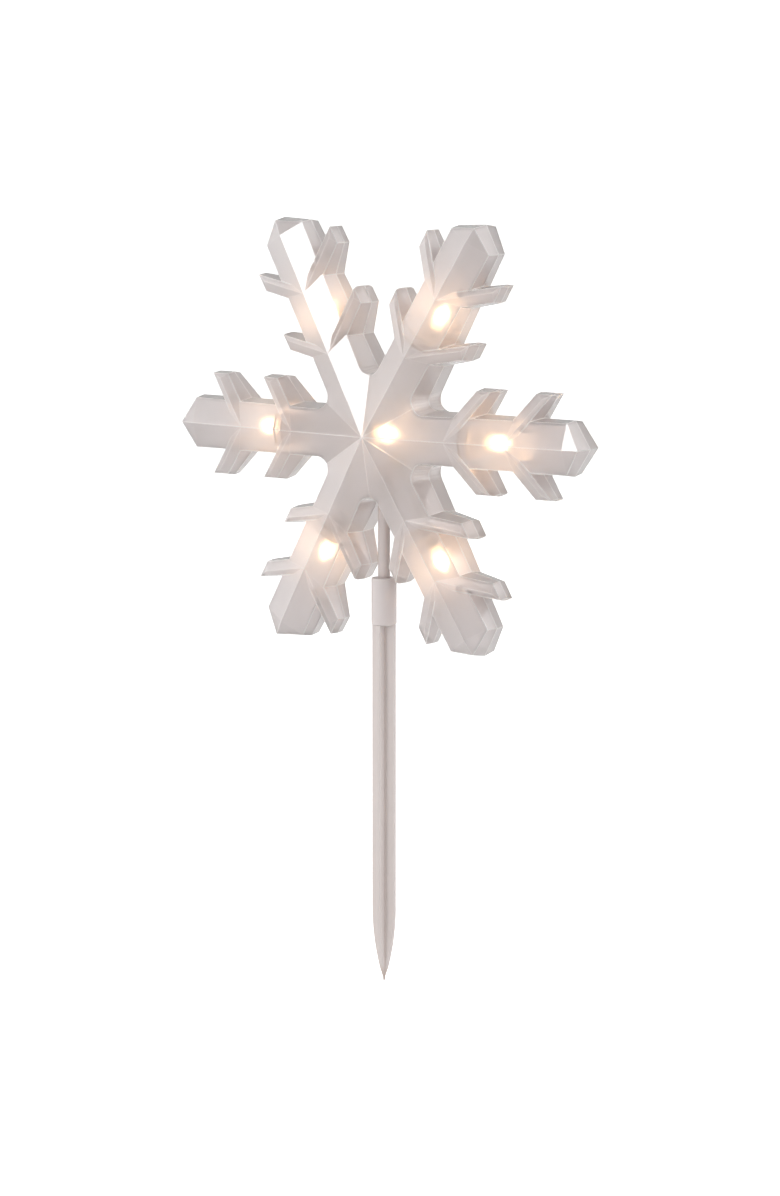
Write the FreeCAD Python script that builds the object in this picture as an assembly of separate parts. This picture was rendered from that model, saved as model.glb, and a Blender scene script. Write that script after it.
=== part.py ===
import FreeCAD, Part

import math
import os

# A lighted snowflake on a ground spike: two faceted half shells joined at a seam, seven mini
# lamps wired in series inside them, a stem, a coupling collar and a cross-shaped spike.
# The origin is on the stem's axis at the soil line, which is the collar's lower face.
# +Z is up, the snowflake's front faces -Y, and all lengths are in millimetres.

Vec = FreeCAD.Vector

# ---------------------------------------------------------------- driving dimensions
ARM_COUNT = 6
ARM_STEP = 360.0 / ARM_COUNT
HALF_STEP = ARM_STEP / 2.0
TIP_RADIUS = 100.0            # centre of the snowflake to an arm's tip, at the seam
ARM_HALF_WIDTH = 11.2         # at the seam
TIP_SETBACK = 7.2             # the tip's two corners lie this far behind the tip
DRAFT = math.tan(math.radians(8.0))
WALL = 1.6

PEAK_HEIGHT = 15.5            # heights are measured from the seam
RIDGE_END = (91.9, 0.0, 9.0)  # along the arm, across the arm, height
TIP_CREST = (98.9, 0.0, 7.7)
TIP_CORNER = (92.3, 10.4, 5.7)
NOTCH_FILLET = 4.0            # between neighbouring arms, at the seam

BRANCH_PITCH = 27.3           # from the outer pair of side branches to the inner pair
BRANCH_COUNT = 2
BRANCH_REACH = 21.6           # from the arm's axis to a side branch's end face
BRANCH_RIDGE_START = (65.3, 0.5)
BRANCH_RIDGE_END = (80.3, 19.0, 5.35)
BRANCH_INNER_CORNER = (76.9, 20.9, 4.3)
BRANCH_OUTER_CORNER = (84.5, 20.9, 4.3)
BRANCH_INNER_WALL = ((67.5, 11.2), (76.0, 20.9))
BRANCH_OUTER_WALL = ((78.2, 11.5), (85.2, 20.9))
BRANCH_TIP_CUT = 0.9          # taken off the sharp corner of a side branch

STEM_RADIUS = 2.5
STEM_BORE = 1.7
STEM_TOP = -14.5              # measured from the snowflake's centre
STEM_FLANGE_RADIUS = 3.6
STEM_FLANGE_HEIGHT = 1.6
SOCKET_RADIUS = 5.0
SOCKET_BOTTOM = -27.5

HEAD_HEIGHT = 78.0            # soil line to the snowflake's centre
COLLAR_RADIUS = 5.2
COLLAR_HEIGHT = 19.3
COLLAR_EDGE = 0.5
COLLAR_STEM_DEPTH = 8.5
COLLAR_PLUG_DEPTH = 8.8
PLUG_RADIUS = 3.6
PLUG_LENGTH = 8.6
PLUG_EDGE = 0.6
RUNNING_FIT = 0.06
SEAT_GAP = 0.1

SPIKE_LENGTH = 148.9
SPIKE_SPAN = 10.3             # across two opposite fins
SPIKE_FIN = 1.95
SPIKE_TURN = 7.0              # degrees, how the spike stands against the snowflake at rest
SPIKE_POINT_LENGTH = 30.0
SPIKE_POINT_FULLNESS = 0.7364  # width halfway down the point, as a share of the span

PIN_PLACES = ((72.8, 7.1), (72.8, -7.1))
PIN_RADIUS = 0.9
PIN_LENGTH = 2.6
PIN_ROOT = 0.9                # how far a pin reaches into its own boss
PIN_END_GAP = 0.3
PIN_BOSS_RADIUS = 1.9

LAMP_RADIUS_PLACE = 51.5      # where an arm's lamp leaves its holder, from the centre
BULB_RADIUS = 2.6
BULB_LENGTH = 11.0
BULB_WALL = 0.4
BULB_NECK = 1.9
BULB_ROOT = 1.0
BULB_BARREL_SHARE = 0.66      # the barrel ends at this share of the length
BULB_TIP_RADIUS = 0.9
HOLDER_RADIUS = 3.0
HOLDER_LENGTH = 10.0
HOLDER_RIM = 3.35
HOLDER_RIM_LENGTH = 1.4
HOLDER_FIT = 0.08
HOLDER_TAIL_STEP = 0.5        # the chamfer round a holder's tail: in from its side
HOLDER_TAIL_LENGTH = 0.8      # and along its axis
HOLDER_WELL_INSET = 0.5       # the well's radius, less than the bulb's neck by this
HOLDER_WELL_SHARE = 0.6       # of the holder's length
HOLDER_HOLE_SHARE = 0.3
HOLDER_TAIL = LAMP_RADIUS_PLACE - HOLDER_LENGTH   # where an arm's two wires enter its holder
CENTRE_HOLDER_LENGTH = 8.0
CENTRE_LAMP_DEPTH = 2.7       # the centre lamp lies this far behind the seam
CENTRE_LAMP_MOUTH = -5.5
LEAD_WIRE_RADIUS = 0.16
LEAD_WIRE_SPREAD = 0.7
FILAMENT_RADIUS = 0.3
FILAMENT_OVERHANG = 0.25      # the coil's ends, past its two support wires
FILAMENT_REACH = 6.0
FILAMENT_GAP = 0.15           # between the envelope's root and the support wires
BEAD_RADIUS = 1.25
BEAD_THICKNESS = 0.7
RIB_PLACES = (43.4, 47.2)
RIB_THICKNESS = 1.2
RIB_HALF_WIDTH = 6.5

WIRE_RADIUS = 0.65
WIRE_SPREAD = 1.3             # the two wires of a holder, from the holder's axis
WIRE_ARC_SHARE = 0.45
CRADLE_WIDTH = 4.4            # of the centre lamp's two ribs; the wires pass beside them
CRADLE_FRONT_GAP = 2.0        # from the holder's rim to the front rib
CRADLE_REAR_GAP = 0.6         # from the holder's tail to the rear rib
HUB_WIRE_DEPTH = 8.5

GROMMET_DROP = 11.0           # below the snowflake's centre
GROMMET_PAD_RADIUS = 5.0
GROMMET_PAD_FACE = 14.6
GROMMET_HOLE = 2.8
GROMMET_BODY = 2.74
GROMMET_FLANGE = 4.2
GROMMET_FLANGE_HEIGHT = 1.2
GROMMET_INNER_FACE = 9.6
GROMMET_BORE = 1.6
GROMMET_WIRE_SPREAD = 0.78
GROMMET_FLANGE_EDGE = 0.5     # the flange's outer rim, past the body
GROMMET_LIP = 0.6             # the inner lip, past the body

BIG = 400.0                   # side of the blocks that trim along a plane
TOOL_LENGTH = 100.0           # of the cutters that reach right through a piece
EDGE_TOLERANCE = 0.01
SEAM_OVERRUN = 2.0            # how far the hollow's tool reaches past the seam

X_AXIS = Vec(1, 0, 0)
Y_AXIS = Vec(0, 1, 0)
Z_AXIS = Vec(0, 0, 1)
ORIGIN = Vec(0, 0, 0)


# ---------------------------------------------------------------- plane trimming
def keep_below(solid, normal, offset):
    """Cut away what lies past the plane normal . p = offset, with normal of any length."""
    unit = Vec(normal).normalize()
    distance = offset / normal.Length
    block = Part.makeBox(BIG, BIG, BIG, Vec(-BIG / 2, -BIG / 2, 0))
    block.Placement = FreeCAD.Placement(unit * distance, FreeCAD.Rotation(Z_AXIS, unit))
    return solid.cut(block)


def keep_under_points(solid, points, inset):
    """Cut away what lies above the plane through three points, lowered by the inset."""
    a, b, c = [Vec(*point) for point in points]
    normal = (b - a).cross(c - a).normalize()
    if normal.z < 0:
        normal = normal * -1
    return keep_below(solid, normal, normal.dot(a) - inset)


def keep_inside_wall(solid, start, end, inside, inset):
    """Cut along a drafted wall that stands on the seam line from start to end."""
    run = Vec(end[0] - start[0], end[1] - start[1], 0).normalize()
    outward = Vec(run.y, -run.x, 0)
    if outward.dot(Vec(inside[0] - start[0], inside[1] - start[1], 0)) > 0:
        outward = outward * -1
    offset = outward.dot(Vec(start[0], start[1], 0)) - inset
    return keep_below(solid, outward + Z_AXIS * DRAFT, offset)


def mirrored(point):
    """The same place on the other side of the arm's axis."""
    return (point[0], -point[1]) + tuple(point[2:])


def blank(inset):
    """A block that is larger than one arm; a hollow's tool also passes the seam."""
    floor = -SEAM_OVERRUN if inset else 0.0
    length = TIP_RADIUS + SEAM_OVERRUN
    return Part.makeBox(length, length, PEAK_HEIGHT * 2, Vec(0, -length / 2, floor))


# ---------------------------------------------------------------- one arm of the snowflake
PEAK = (0.0, 0.0, PEAK_HEIGHT)


def roof_height(along, across):
    """Height of an arm's sloping roof over a place on the seam plane."""
    fall = (PEAK_HEIGHT - RIDGE_END[2]) / RIDGE_END[0]
    side = (PEAK_HEIGHT - fall * TIP_CORNER[0] - TIP_CORNER[2]) / TIP_CORNER[1]
    return PEAK_HEIGHT - fall * along - side * abs(across)


def roofed(solid, inset):
    """Trim a block under the two roof faces of an arm."""
    solid = keep_under_points(solid, (PEAK, RIDGE_END, TIP_CORNER), inset)
    return keep_under_points(solid, (PEAK, RIDGE_END, mirrored(TIP_CORNER)), inset)


def within_sector(solid):
    """Keep the sixth of the snowflake that belongs to the arm along +X."""
    lean = math.radians(HALF_STEP)
    for side in (1, -1):
        solid = keep_below(solid, Vec(-math.sin(lean), side * math.cos(lean), 0), 0.0)
    return solid


def arm_body(inset):
    """The arm itself: drafted side walls, a pointed tip, a ridged roof and two tip facets."""
    solid = roofed(within_sector(blank(inset)), inset)
    for side in (1, -1):
        edge = side * ARM_HALF_WIDTH
        corner = (TIP_RADIUS - TIP_SETBACK, edge)
        solid = keep_inside_wall(solid, (0, edge), corner, ORIGIN, inset)
        solid = keep_inside_wall(solid, (TIP_RADIUS, 0), corner, ORIGIN, inset)
        facet = (RIDGE_END, TIP_CREST, (TIP_CORNER[0], side * TIP_CORNER[1], TIP_CORNER[2]))
        solid = keep_under_points(solid, facet, inset)
    return solid


def hub_body(inset):
    """The arm's share of the hub, which fills the notches that the fillets are cut from."""
    reach = (ARM_HALF_WIDTH + NOTCH_FILLET) / math.tan(math.radians(HALF_STEP))
    return keep_below(roofed(within_sector(blank(inset)), inset), X_AXIS, reach)


def shifted(point, step):
    """A place on the outer side branch, moved to the branch that is step places inwards."""
    along = point[0] - step * BRANCH_PITCH
    rise = step * BRANCH_PITCH * (PEAK_HEIGHT - RIDGE_END[2]) / RIDGE_END[0]
    if len(point) == 2:
        return (along, point[1])
    return (along, point[1], point[2] + rise)


def branch_body(step, side, inset):
    """A side branch: its ridge leaves the arm's roof and runs out to a hipped end."""
    start = shifted(BRANCH_RIDGE_START, step)
    start = (start[0], start[1], roof_height(start[0], start[1]))
    end, inner, outer = [shifted(point, step) for point in
                         (BRANCH_RIDGE_END, BRANCH_INNER_CORNER, BRANCH_OUTER_CORNER)]
    solid = keep_below(blank(inset), Vec(0, -1, 0), 0.0)
    for points in ((start, end, inner), (start, end, outer), (end, inner, outer)):
        solid = keep_under_points(solid, points, inset)
    walls = [[shifted(point, step) for point in wall]
             for wall in (BRANCH_INNER_WALL, BRANCH_OUTER_WALL)]
    for wall in walls:
        solid = keep_inside_wall(solid, wall[0], wall[1], end, inset)
    reach = (start[0], BRANCH_REACH)
    solid = keep_inside_wall(solid, reach, (end[0], BRANCH_REACH), ORIGIN, inset)
    sharp = Vec(walls[1][1][0], BRANCH_REACH, 0)
    lean = Vec(sharp.x - walls[0][1][0], 0, 0).normalize()
    rise = Vec(sharp.x - walls[1][0][0], sharp.y - walls[1][0][1], 0).normalize()
    bisector = (lean + rise).normalize()
    solid = keep_below(solid, bisector, bisector.dot(sharp) - BRANCH_TIP_CUT - inset)
    if side < 0:
        solid = solid.mirror(ORIGIN, Y_AXIS)
    return solid


def notch_cone(inset):
    """The round cutter between two arms; it widens with height, as the drafted walls do."""
    distance = (ARM_HALF_WIDTH + NOTCH_FILLET) / math.sin(math.radians(HALF_STEP))
    low = NOTCH_FILLET + inset - DRAFT * SEAM_OVERRUN
    high = NOTCH_FILLET + inset + DRAFT * PEAK_HEIGHT * 2
    height = PEAK_HEIGHT * 2 + SEAM_OVERRUN
    cone = Part.makeCone(low, high, height, Vec(distance, 0, -SEAM_OVERRUN))
    return cone.rotate(ORIGIN, Z_AXIS, HALF_STEP)


def around(make):
    """Six turned copies of what make() returns."""
    first = make()
    copies = []
    for index in range(ARM_COUNT):
        copy = first.copy()
        copy.rotate(ORIGIN, Z_AXIS, index * ARM_STEP)
        copies.append(copy)
    return copies


def snowflake_block(inset):
    """The full snowflake above the seam, or the tool that hollows it when inset is above 0."""
    def sector():
        pieces = [hub_body(inset)]
        for step in range(BRANCH_COUNT):
            for side in (1, -1):
                pieces.append(branch_body(step, side, inset))
        return arm_body(inset).multiFuse(pieces)

    sectors = around(sector)
    block = sectors[0].multiFuse(sectors[1:])
    return block.cut(around(lambda: notch_cone(inset))).removeSplitter()


# ---------------------------------------------------------------- half shells
def along_arm(shape, index):
    """Turn a piece built over the arm along +X to another arm; the seam plane is XY here."""
    turned = shape.copy()
    turned.rotate(ORIGIN, Z_AXIS, index * ARM_STEP)
    return turned


def arm_rib(place):
    """A rib across an arm that carries a lamp holder in a half-round seat."""
    rib = Part.makeBox(RIB_THICKNESS, RIB_HALF_WIDTH * 2, PEAK_HEIGHT,
                       Vec(place, -RIB_HALF_WIDTH, 0))
    seat = Part.makeCylinder(HOLDER_RADIUS + HOLDER_FIT, TOOL_LENGTH, ORIGIN, X_AXIS)
    return rib.cut(seat)


def pin_boss(place):
    """A round boss that carries a locating pin or its hole."""
    return Part.makeCylinder(PIN_BOSS_RADIUS, PEAK_HEIGHT, Vec(place[0], place[1], 0))


def stem_socket():
    """Half of the socket that grips the stem, below the snowflake's centre."""
    return Part.makeCylinder(SOCKET_RADIUS, STEM_TOP - SOCKET_BOTTOM,
                             Vec(0, SOCKET_BOTTOM, 0), Y_AXIS)


def stem_void():
    """Room for the stem and for the flange that keeps it from pulling out."""
    bore = Part.makeCylinder(STEM_RADIUS + RUNNING_FIT, TOOL_LENGTH,
                             Vec(0, STEM_TOP - TOOL_LENGTH, 0), Y_AXIS)
    height = STEM_FLANGE_HEIGHT + SEAT_GAP
    low = STEM_TOP - height
    flange = Part.makeCylinder(STEM_FLANGE_RADIUS + RUNNING_FIT, height, Vec(0, low, 0), Y_AXIS)
    return bore.fuse(flange)


def half_shell(outer, hollow, extras, voids):
    """Hollow the block, then add ribs and bosses that reach the roof and cut their holes."""
    shell = outer.cut(hollow)
    inside = [extra.common(outer) for extra in extras]
    shell = shell.multiFuse(inside)
    return shell.cut(voids).removeSplitter()


def place_front(shape):
    """Stand a piece built over the seam plane on the front side of the snowflake."""
    shape.rotate(ORIGIN, X_AXIS, 90.0)
    shape.translate(Vec(0, 0, HEAD_HEIGHT))
    return shape


def place_rear(shape):
    """Stand a piece built over the seam plane on the rear side, upright as the front one."""
    shape = shape.mirror(ORIGIN, Z_AXIS)
    return place_front(shape)


def common_extras():
    """Ribs, pin bosses and the stem socket that both half shells share."""
    extras = [stem_socket()]
    for index in range(ARM_COUNT):
        extras += [along_arm(arm_rib(place), index) for place in RIB_PLACES]
        extras += [along_arm(pin_boss(place), index) for place in PIN_PLACES]
    return extras


def pin_set(radius, length):
    """Pins, or the holes for them, standing on the seam plane and reaching the other way."""
    pins = []
    for index in range(ARM_COUNT):
        for place in PIN_PLACES:
            pin = Part.makeCylinder(radius, length + PIN_ROOT, Vec(place[0], place[1], -length))
            pins.append(along_arm(pin, index))
    return pins


def front_shell(outer, hollow):
    """The front half shell, with the locating pins."""
    shell = half_shell(outer, hollow, common_extras(), [stem_void()])
    return place_front(shell.multiFuse(pin_set(PIN_RADIUS, PIN_LENGTH)).removeSplitter())


def centre_cradle():
    """Two ribs on the rear shell that carry the centre lamp's holder."""
    ribs = []
    for place in (CENTRE_LAMP_MOUTH - HOLDER_RIM_LENGTH - CRADLE_FRONT_GAP,
                  CENTRE_LAMP_MOUTH - CENTRE_HOLDER_LENGTH + CRADLE_REAR_GAP):
        rib = Part.makeBox(RIB_THICKNESS, CRADLE_WIDTH, PEAK_HEIGHT,
                           Vec(place, -CRADLE_WIDTH / 2.0, CENTRE_LAMP_DEPTH))
        ribs.append(rib)
    seat = Part.makeCylinder(HOLDER_RADIUS + HOLDER_FIT, TOOL_LENGTH,
                             Vec(-TOOL_LENGTH / 2.0, 0, CENTRE_LAMP_DEPTH), X_AXIS)
    return [rib.cut(seat) for rib in ribs]


def grommet_pad():
    """The flat round pad in the rear valley that the lead comes out of."""
    inner_face = GROMMET_INNER_FACE + GROMMET_FLANGE_HEIGHT
    return Part.makeCylinder(GROMMET_PAD_RADIUS, GROMMET_PAD_FACE - inner_face,
                             Vec(0, -GROMMET_DROP, inner_face))


def rear_shell(outer, hollow):
    """The rear half shell, with the pin holes, the centre lamp's cradle and the lead's pad."""
    holes = [hole.mirror(ORIGIN, Z_AXIS) for hole in
             pin_set(PIN_RADIUS + RUNNING_FIT, PIN_LENGTH + PIN_END_GAP)]
    room = Part.makeCylinder(GROMMET_HOLE, PEAK_HEIGHT * 2, Vec(0, -GROMMET_DROP, 0))
    pad = grommet_pad()
    shell = half_shell(outer, hollow, common_extras() + centre_cradle(), [stem_void()] + holes)
    return place_rear(shell.fuse(pad).cut(room).removeSplitter())


# ---------------------------------------------------------------- lamps
def turned_about_x(points):
    """Turn a closed outline of (along, radius) points into a solid about the X axis."""
    wire = Part.makePolygon([Vec(x, 0, r) for x, r in points + points[:1]])
    return Part.Face(wire).revolve(ORIGIN, X_AXIS, 360.0)


def bulb_body(shrink):
    """A mini lamp's envelope along +X: a necked root, a straight barrel and a drawn-out tip."""
    length = BULB_LENGTH - shrink * 2
    radius = BULB_RADIUS - shrink
    barrel_end = length * BULB_BARREL_SHARE
    tip_start = length - BULB_TIP_RADIUS
    root = Part.makeCone(BULB_NECK - shrink, radius, BULB_ROOT, ORIGIN, X_AXIS)
    barrel = Part.makeCylinder(radius, barrel_end - BULB_ROOT, X_AXIS * BULB_ROOT, X_AXIS)
    taper = Part.makeCone(radius, BULB_TIP_RADIUS, tip_start - barrel_end,
                          X_AXIS * barrel_end, X_AXIS)
    tip = Part.makeSphere(BULB_TIP_RADIUS, X_AXIS * tip_start)
    body = root.multiFuse([barrel, taper, tip])
    body.translate(X_AXIS * shrink)
    return body


def bulb_glass():
    """The glass envelope, hollow, with its mouth at the origin and its tip along +X."""
    return bulb_body(0.0).cut(bulb_body(BULB_WALL))


def lamp_filament():
    """The glass bead, its two support wires and the coil, inside the envelope."""
    start = BULB_WALL + FILAMENT_GAP
    bead = Part.makeCylinder(BEAD_RADIUS, BEAD_THICKNESS, Vec(start + BEAD_RADIUS, 0, 0), X_AXIS)
    posts = [Part.makeCylinder(LEAD_WIRE_RADIUS, FILAMENT_REACH - start,
                               Vec(start, side * LEAD_WIRE_SPREAD, 0), X_AXIS) for side in (1, -1)]
    reach = LEAD_WIRE_SPREAD + LEAD_WIRE_RADIUS + FILAMENT_OVERHANG
    coil = Part.makeCylinder(FILAMENT_RADIUS, reach * 2, Vec(FILAMENT_REACH, -reach, 0), Y_AXIS)
    return bead.multiFuse(posts + [coil])


def lamp_holder(length):
    """The plastic husk that grips the bulb: a rimmed barrel with two wire holes in its tail."""
    barrel = turned_about_x([(-length, 0), (-length, HOLDER_RADIUS - HOLDER_TAIL_STEP),
                             (-length + HOLDER_TAIL_LENGTH, HOLDER_RADIUS),
                             (-HOLDER_RIM_LENGTH, HOLDER_RADIUS), (-HOLDER_RIM_LENGTH, HOLDER_RIM),
                             (0, HOLDER_RIM), (0, 0)])
    well_depth = length * HOLDER_WELL_SHARE
    well = Part.makeCylinder(BULB_NECK - HOLDER_WELL_INSET, well_depth, Vec(-well_depth, 0, 0), X_AXIS)
    holes = [Part.makeCylinder(WIRE_RADIUS, length * HOLDER_HOLE_SHARE,
                               Vec(-length, side * WIRE_SPREAD, 0), X_AXIS) for side in (1, -1)]
    return barrel.cut([well] + holes)


def put_arm_lamp(shape, index):
    """Move a lamp piece to its arm, its mouth at the lamp's place and its tip outwards."""
    shape.translate(Vec(LAMP_RADIUS_PLACE, 0, 0))
    shape.rotate(ORIGIN, Z_AXIS, index * ARM_STEP)
    return place_front(shape)


def put_centre_lamp(shape):
    """Move a lamp piece to the hub, where the lamp lies across and points along +X."""
    shape.translate(Vec(CENTRE_LAMP_MOUTH, 0, -CENTRE_LAMP_DEPTH))
    return place_front(shape)


# ---------------------------------------------------------------- wiring
def rounded_path(points):
    """Straight runs joined by tangent arcs, as large as the shorter run of each corner allows."""
    edges = []
    start = points[0]
    for before, corner, after in zip(points, points[1:], points[2:]):
        run_in = corner - before
        run_out = after - corner
        half_turn = run_in.getAngle(run_out) / 2.0
        trim = WIRE_ARC_SHARE * min(run_in.Length, run_out.Length)
        radius = trim / math.tan(half_turn)
        into = Vec(run_in).normalize()
        out = Vec(run_out).normalize()
        first = corner - into * trim
        last = corner + out * trim
        towards = (out - into).normalize()
        centre = corner + towards * (radius / math.cos(half_turn))
        middle = centre - towards * radius
        edges.append(Part.makeLine(start, first))
        edges.append(Part.Arc(first, middle, last).toShape())
        start = last
    edges.append(Part.makeLine(start, points[-1]))
    return Part.Wire(edges)


def wire_along(points):
    """An insulated wire swept along a rounded path, and a print of how well it came out."""
    path = rounded_path(points)
    direction = points[1] - points[0]
    ring = Part.Wire(Part.makeCircle(WIRE_RADIUS, points[0], direction))
    solid = path.makePipeShell([ring], True, True)
    expected = math.pi * WIRE_RADIUS ** 2 * path.Length
    print("wire length %.1f, volume ratio %.4f" % (path.Length, solid.Volume / expected))
    return solid


def in_head(along, across, depth, index):
    """A place in an arm's own terms, as a point of the whole part; depth is to the rear."""
    angle = math.radians(index * ARM_STEP)
    x = along * math.cos(angle) - across * math.sin(angle)
    z = along * math.sin(angle) + across * math.cos(angle)
    return Vec(x, depth, HEAD_HEIGHT + z)


def arm_run(index, side):
    """The stretch of a wire from a holder's tail in towards the hub."""
    return [in_head(HOLDER_TAIL, side * WIRE_SPREAD, 0.0, index),
            in_head(35.0, side * WIRE_SPREAD * 1.1, 0.9, index),
            in_head(23.0, side * WIRE_SPREAD * 2.0, 5.2, index)]


def arm_link(index):
    """A wire from one arm's holder, round the hub, to the next arm's holder."""
    near = [in_head(11.0, 3.6, HUB_WIRE_DEPTH, index), in_head(11.0, -3.6, HUB_WIRE_DEPTH, index + 1)]
    return wire_along(arm_run(index, 1) + near + arm_run(index + 1, -1)[::-1])


def lead_wire(index, side):
    """A wire from one of the two lower arms to the grommet in the rear shell."""
    inward = -1.0 if index == ARM_COUNT - 2 else 1.0
    hub = [Vec(inward * 4.6, 6.6, HEAD_HEIGHT - 15.4),
           Vec(inward * GROMMET_WIRE_SPREAD, 7.2, HEAD_HEIGHT - GROMMET_DROP),
           Vec(inward * GROMMET_WIRE_SPREAD, GROMMET_INNER_FACE, HEAD_HEIGHT - GROMMET_DROP)]
    return wire_along(arm_run(index, side) + hub)


def centre_links():
    """The two wires of the centre lamp: one to the left arm and one to the lower left arm."""
    tail = CENTRE_LAMP_MOUTH - CENTRE_HOLDER_LENGTH
    depth = CENTRE_LAMP_DEPTH
    upper = Vec(tail, depth, HEAD_HEIGHT + WIRE_SPREAD)
    to_left = [upper, Vec(tail - 6.0, depth * 0.9, HEAD_HEIGHT + WIRE_SPREAD),
               Vec(tail - 16.0, depth * 0.3, HEAD_HEIGHT - WIRE_SPREAD),
               in_head(HOLDER_TAIL, WIRE_SPREAD, 0.0, 3)]
    lower = Vec(tail, depth, HEAD_HEIGHT - WIRE_SPREAD)
    to_lower = [lower, Vec(tail - 3.2, depth, HEAD_HEIGHT - WIRE_SPREAD - 0.8),
                Vec(tail - 4.6, depth * 0.8, HEAD_HEIGHT - 8.5),
                Vec(tail - 4.8, depth * 0.5, HEAD_HEIGHT - 17.0),
                in_head(33.0, -WIRE_SPREAD * 1.6, 0.6, 4), in_head(HOLDER_TAIL, -WIRE_SPREAD, 0.0, 4)]
    return wire_along(to_left), wire_along(to_lower)


def lead_grommet():
    """The soft bush that the lead passes through, flanged outside and lipped inside."""
    body_top = GROMMET_PAD_FACE + GROMMET_FLANGE_HEIGHT
    centre = Vec(0, -GROMMET_DROP, 0)
    body = Part.makeCylinder(GROMMET_BODY, body_top - GROMMET_INNER_FACE,
                             centre + Z_AXIS * GROMMET_INNER_FACE)
    flange = Part.makeCone(GROMMET_FLANGE, GROMMET_BODY + GROMMET_FLANGE_EDGE, GROMMET_FLANGE_HEIGHT,
                           centre + Z_AXIS * GROMMET_PAD_FACE)
    lip = Part.makeCylinder(GROMMET_BODY + GROMMET_LIP, GROMMET_FLANGE_HEIGHT - SEAT_GAP,
                            centre + Z_AXIS * GROMMET_INNER_FACE)
    bore = Part.makeCylinder(GROMMET_BORE, TOOL_LENGTH, centre)
    return place_rear(body.multiFuse([flange, lip]).cut(bore))


# ---------------------------------------------------------------- stem, collar and spike
def stem_tube():
    """The stem: a tube with a flange at its top that the two half shells hold."""
    bottom = COLLAR_HEIGHT - COLLAR_STEM_DEPTH + SEAT_GAP
    top = HEAD_HEIGHT + STEM_TOP
    tube = Part.makeCylinder(STEM_RADIUS, top - bottom, Vec(0, 0, bottom))
    flange = Part.makeCylinder(STEM_FLANGE_RADIUS, STEM_FLANGE_HEIGHT,
                               Vec(0, 0, top - STEM_FLANGE_HEIGHT))
    bore = Part.makeCylinder(STEM_BORE, BIG, Vec(0, 0, 0))
    return tube.fuse(flange).cut(bore).removeSplitter()


def collar():
    """The coupling: the stem drops in from above and the spike's plug from below."""
    body = Part.makeCylinder(COLLAR_RADIUS, COLLAR_HEIGHT)
    rims = [edge for edge in body.Edges if edge.Closed and len(edge.Vertexes) == 1]
    body = body.makeFillet(COLLAR_EDGE, rims)
    upper = Part.makeCylinder(STEM_RADIUS + RUNNING_FIT, COLLAR_STEM_DEPTH + SEAT_GAP,
                              Vec(0, 0, COLLAR_HEIGHT - COLLAR_STEM_DEPTH))
    lower = Part.makeCylinder(PLUG_RADIUS + RUNNING_FIT, COLLAR_PLUG_DEPTH)
    return body.cut([upper, lower])


def fin_outline():
    """Side view of one pair of fins: straight edges, drawn in by two arcs to the point."""
    half = SPIKE_SPAN / 2.0
    shoulder = -SPIKE_LENGTH + SPIKE_POINT_LENGTH
    middle_z = (shoulder - SPIKE_LENGTH) / 2.0
    middle_x = half * SPIKE_POINT_FULLNESS
    point = Vec(0, 0, -SPIKE_LENGTH)
    edges = [Part.makeLine(Vec(-half, 0, 0), Vec(half, 0, 0)),
             Part.makeLine(Vec(half, 0, 0), Vec(half, 0, shoulder)),
             Part.Arc(Vec(half, 0, shoulder), Vec(middle_x, 0, middle_z), point).toShape(),
             Part.Arc(point, Vec(-middle_x, 0, middle_z), Vec(-half, 0, shoulder)).toShape(),
             Part.makeLine(Vec(-half, 0, shoulder), Vec(-half, 0, 0))]
    return Part.Face(Part.Wire(edges))


def ground_spike():
    """The spike: two crossed blades and a round plug on top."""
    face = fin_outline()
    face.translate(Vec(0, -SPIKE_FIN / 2.0, 0))
    blade = face.extrude(Vec(0, SPIKE_FIN, 0))
    crossed = blade.copy()
    crossed.rotate(ORIGIN, Z_AXIS, 90.0)
    plug = Part.makeCylinder(PLUG_RADIUS, PLUG_LENGTH)
    top_rim = [edge for edge in plug.Edges
               if edge.Closed and edge.BoundBox.ZMin > PLUG_LENGTH - EDGE_TOLERANCE]
    plug = plug.makeChamfer(PLUG_EDGE, top_rim)
    spike = blade.multiFuse([crossed, plug]).removeSplitter()
    spike.rotate(ORIGIN, Z_AXIS, SPIKE_TURN)
    return spike


# ---------------------------------------------------------------- all nodes
def build():
    """Every separate piece of the part, by node name."""
    outer = snowflake_block(0.0)
    hollow = snowflake_block(WALL)
    nodes = {"front_shell": front_shell(outer, hollow),
             "rear_shell": rear_shell(outer, hollow),
             "stem_tube": stem_tube(),
             "collar": collar(),
             "ground_spike": ground_spike(),
             "lead_grommet": lead_grommet()}
    for index in range(ARM_COUNT):
        number = index + 1
        nodes["lamp_bulb_%d" % number] = put_arm_lamp(bulb_glass(), index)
        nodes["lamp_filament_%d" % number] = put_arm_lamp(lamp_filament(), index)
        nodes["lamp_holder_%d" % number] = put_arm_lamp(lamp_holder(HOLDER_LENGTH), index)
    nodes["centre_lamp_bulb"] = put_centre_lamp(bulb_glass())
    nodes["centre_lamp_filament"] = put_centre_lamp(lamp_filament())
    nodes["centre_lamp_holder"] = put_centre_lamp(lamp_holder(CENTRE_HOLDER_LENGTH))
    for count, index in enumerate((-1, 0, 1, 2)):
        nodes["link_wire_%d" % (count + 1)] = arm_link(index)
    nodes["centre_wire_left"], nodes["centre_wire_lower"] = centre_links()
    nodes["lead_wire_left"] = lead_wire(ARM_COUNT - 2, 1)
    nodes["lead_wire_right"] = lead_wire(ARM_COUNT - 1, -1)
    return nodes


os.makedirs("parts", exist_ok=True)
for name, shape in build().items():
    if not shape.isValid() or shape.Volume <= 0:
        print("check", name, shape.isValid(), shape.Volume)
    print("%-22s solids %d  volume %.1f" % (name, len(shape.Solids), shape.Volume))
    shape.exportStep("parts/%s.step" % name)
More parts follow.
